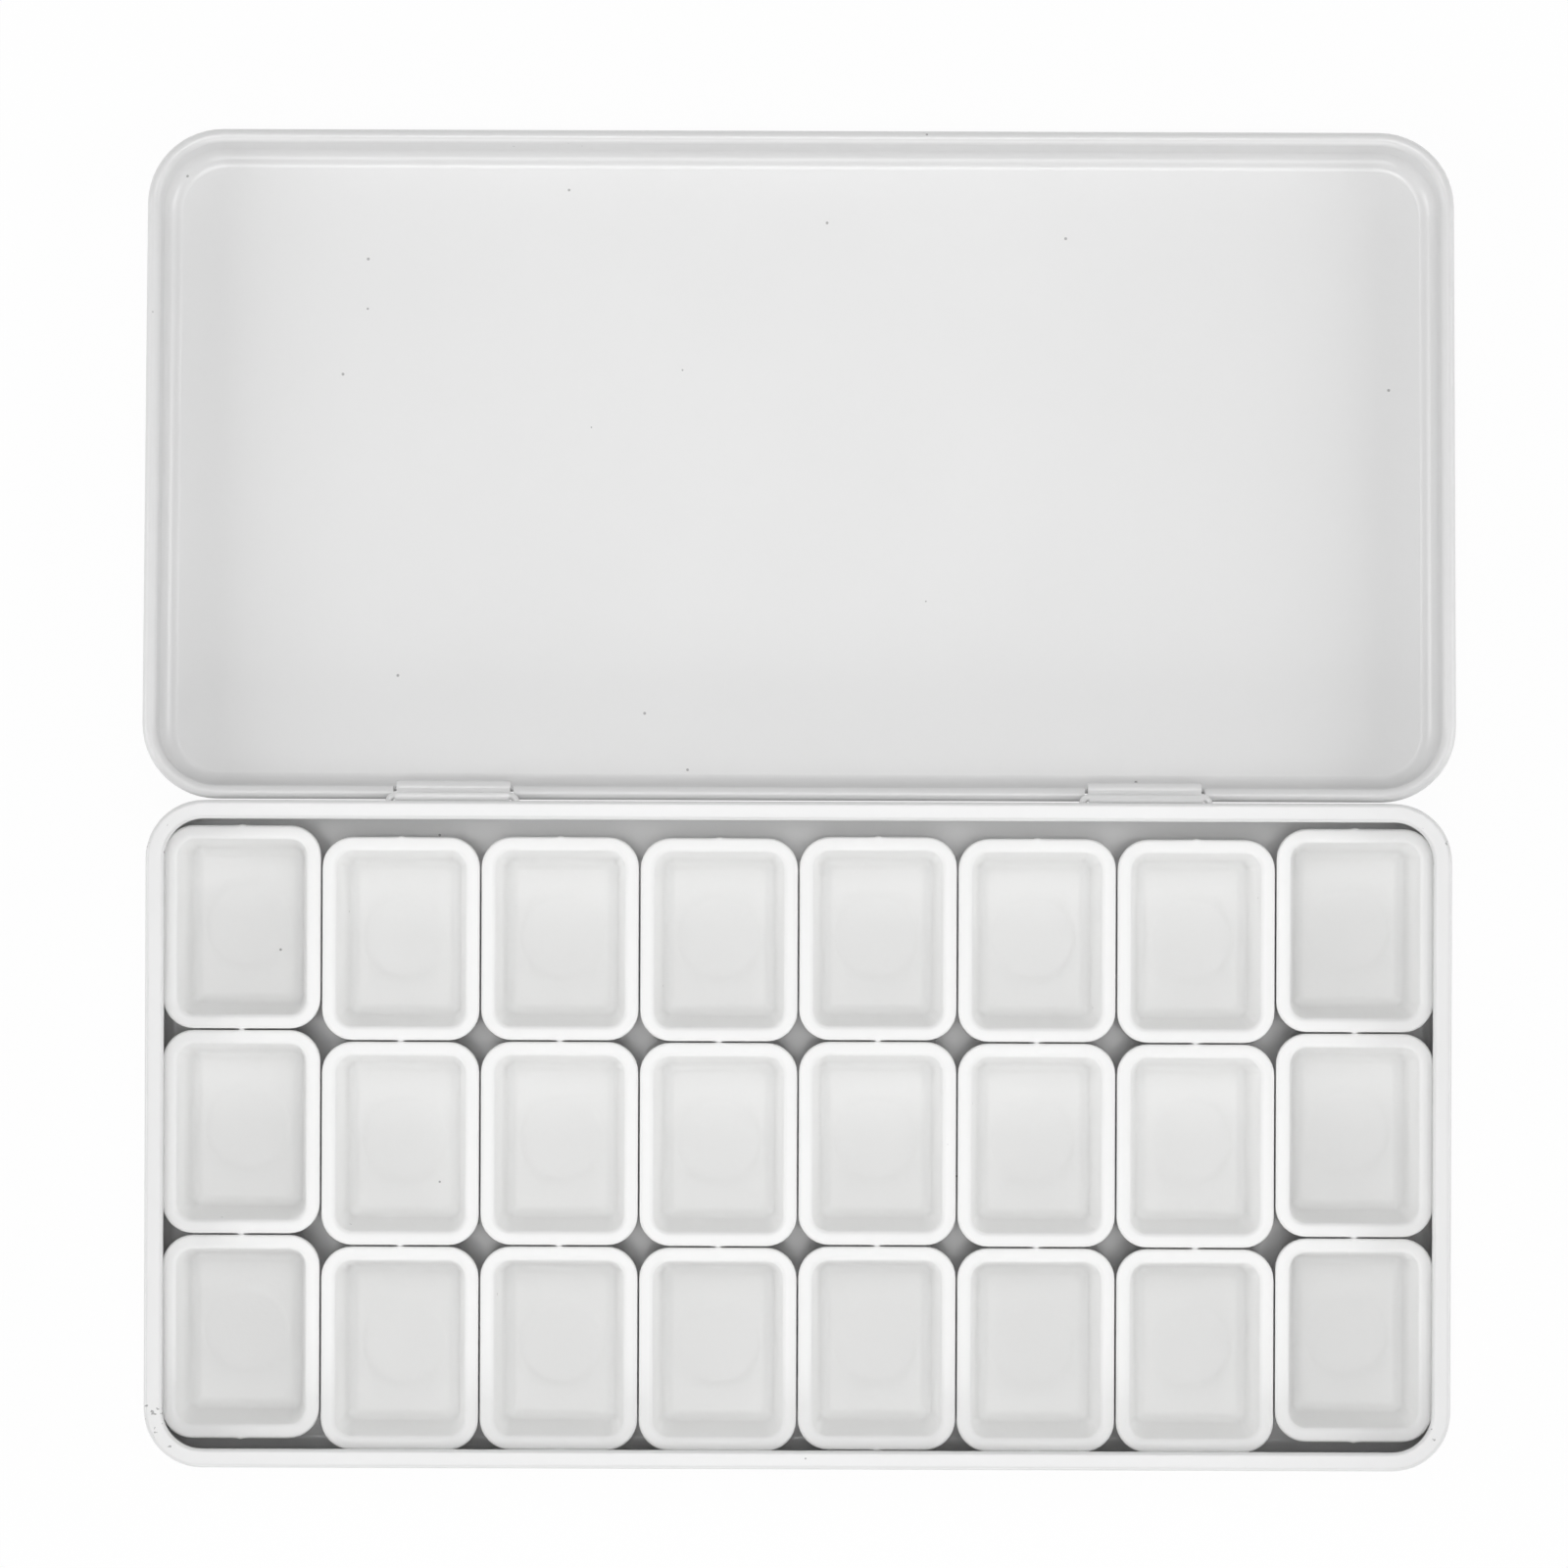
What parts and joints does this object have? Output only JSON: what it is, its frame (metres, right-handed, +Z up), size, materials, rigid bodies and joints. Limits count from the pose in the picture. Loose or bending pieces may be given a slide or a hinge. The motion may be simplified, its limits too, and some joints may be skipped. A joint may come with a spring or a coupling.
{
  "type": "watercolour tin",
  "caption": "Pocket watercolour tin of white enamelled sheet metal, open, with a hinged tray lid and rows of loose half pans.",
  "frame": {"origin": "centre of the base's flat underside", "axes": "+X along the tin's length, +Y towards the hinge and the open lid, +Z up"},
  "size_m": [0.1244, 0.1268, 0.0145],
  "materials": {
    "white_enamel": "gloss stove enamel on pressed tinplate",
    "white_plastic": "satin moulded plastic"
  },
  "bodies": {
    "base": {"base_tray": "white_enamel"},
    "lid": {"lid": "white_enamel"},
    "pan_r1_c1": {"pan_r1_c1": "white_plastic"},
    "pan_r1_c2": {"pan_r1_c2": "white_plastic"},
    "pan_r1_c3": {"pan_r1_c3": "white_plastic"},
    "pan_r1_c4": {"pan_r1_c4": "white_plastic"},
    "pan_r1_c5": {"pan_r1_c5": "white_plastic"},
    "pan_r1_c6": {"pan_r1_c6": "white_plastic"},
    "pan_r1_c7": {"pan_r1_c7": "white_plastic"},
    "pan_r1_c8": {"pan_r1_c8": "white_plastic"},
    "pan_r2_c1": {"pan_r2_c1": "white_plastic"},
    "pan_r2_c2": {"pan_r2_c2": "white_plastic"},
    "pan_r2_c3": {"pan_r2_c3": "white_plastic"},
    "pan_r2_c4": {"pan_r2_c4": "white_plastic"},
    "pan_r2_c5": {"pan_r2_c5": "white_plastic"},
    "pan_r2_c6": {"pan_r2_c6": "white_plastic"},
    "pan_r2_c7": {"pan_r2_c7": "white_plastic"},
    "pan_r2_c8": {"pan_r2_c8": "white_plastic"},
    "pan_r3_c1": {"pan_r3_c1": "white_plastic"},
    "pan_r3_c2": {"pan_r3_c2": "white_plastic"},
    "pan_r3_c3": {"pan_r3_c3": "white_plastic"},
    "pan_r3_c4": {"pan_r3_c4": "white_plastic"},
    "pan_r3_c5": {"pan_r3_c5": "white_plastic"},
    "pan_r3_c6": {"pan_r3_c6": "white_plastic"},
    "pan_r3_c7": {"pan_r3_c7": "white_plastic"},
    "pan_r3_c8": {"pan_r3_c8": "white_plastic"}
  },
  "joints": [
    {"name": "lid_hinge", "type": "hinge", "parent": "base", "child": "lid", "pos_m": [0, 0.03188, 0.0128], "axis": [-1, 0, 0], "range_deg": [-184.58, 0]},
    {"name": "lift_r1_c1", "type": "slide", "parent": "base", "child": "pan_r1_c1", "axis": [0.1483, 0, 0.9889], "range_m": [0, 0.028]},
    {"name": "lift_r1_c2", "type": "slide", "parent": "base", "child": "pan_r1_c2", "axis": [0, 0.1483, 0.9889], "range_m": [0, 0.016]},
    {"name": "lift_r1_c3", "type": "slide", "parent": "base", "child": "pan_r1_c3", "axis": [0, 0.1483, 0.9889], "range_m": [0, 0.016]},
    {"name": "lift_r1_c4", "type": "slide", "parent": "base", "child": "pan_r1_c4", "axis": [0, 0.1483, 0.9889], "range_m": [0, 0.016]},
    {"name": "lift_r1_c5", "type": "slide", "parent": "base", "child": "pan_r1_c5", "axis": [0, 0.1483, 0.9889], "range_m": [0, 0.016]},
    {"name": "lift_r1_c6", "type": "slide", "parent": "base", "child": "pan_r1_c6", "axis": [0, 0.1483, 0.9889], "range_m": [0, 0.016]},
    {"name": "lift_r1_c7", "type": "slide", "parent": "base", "child": "pan_r1_c7", "axis": [0, 0.1483, 0.9889], "range_m": [0, 0.016]},
    {"name": "lift_r1_c8", "type": "slide", "parent": "base", "child": "pan_r1_c8", "axis": [-0.1483, 0, 0.9889], "range_m": [0, 0.028]},
    {"name": "lift_r2_c1", "type": "slide", "parent": "base", "child": "pan_r2_c1", "axis": [0.1483, 0, 0.9889], "range_m": [0, 0.028]},
    {"name": "lift_r2_c2", "type": "slide", "parent": "base", "child": "pan_r2_c2", "axis": [0, 0.1483, 0.9889], "range_m": [0, 0.016]},
    {"name": "lift_r2_c3", "type": "slide", "parent": "base", "child": "pan_r2_c3", "axis": [0, 0.1483, 0.9889], "range_m": [0, 0.016]},
    {"name": "lift_r2_c4", "type": "slide", "parent": "base", "child": "pan_r2_c4", "axis": [0, 0.1483, 0.9889], "range_m": [0, 0.016]},
    {"name": "lift_r2_c5", "type": "slide", "parent": "base", "child": "pan_r2_c5", "axis": [0, 0.1483, 0.9889], "range_m": [0, 0.016]},
    {"name": "lift_r2_c6", "type": "slide", "parent": "base", "child": "pan_r2_c6", "axis": [0, 0.1483, 0.9889], "range_m": [0, 0.016]},
    {"name": "lift_r2_c7", "type": "slide", "parent": "base", "child": "pan_r2_c7", "axis": [0, 0.1483, 0.9889], "range_m": [0, 0.016]},
    {"name": "lift_r2_c8", "type": "slide", "parent": "base", "child": "pan_r2_c8", "axis": [-0.1483, 0, 0.9889], "range_m": [0, 0.028]},
    {"name": "lift_r3_c1", "type": "slide", "parent": "base", "child": "pan_r3_c1", "axis": [0.1483, 0, 0.9889], "range_m": [0, 0.028]},
    {"name": "lift_r3_c2", "type": "slide", "parent": "base", "child": "pan_r3_c2", "axis": [0, 0.1483, 0.9889], "range_m": [0, 0.016]},
    {"name": "lift_r3_c3", "type": "slide", "parent": "base", "child": "pan_r3_c3", "axis": [0, 0.1483, 0.9889], "range_m": [0, 0.016]},
    {"name": "lift_r3_c4", "type": "slide", "parent": "base", "child": "pan_r3_c4", "axis": [0, 0.1483, 0.9889], "range_m": [0, 0.016]},
    {"name": "lift_r3_c5", "type": "slide", "parent": "base", "child": "pan_r3_c5", "axis": [0, 0.1483, 0.9889], "range_m": [0, 0.016]},
    {"name": "lift_r3_c6", "type": "slide", "parent": "base", "child": "pan_r3_c6", "axis": [0, 0.1483, 0.9889], "range_m": [0, 0.016]},
    {"name": "lift_r3_c7", "type": "slide", "parent": "base", "child": "pan_r3_c7", "axis": [0, 0.1483, 0.9889], "range_m": [0, 0.016]},
    {"name": "lift_r3_c8", "type": "slide", "parent": "base", "child": "pan_r3_c8", "axis": [-0.1483, 0, 0.9889], "range_m": [0, 0.028]}
  ]
}
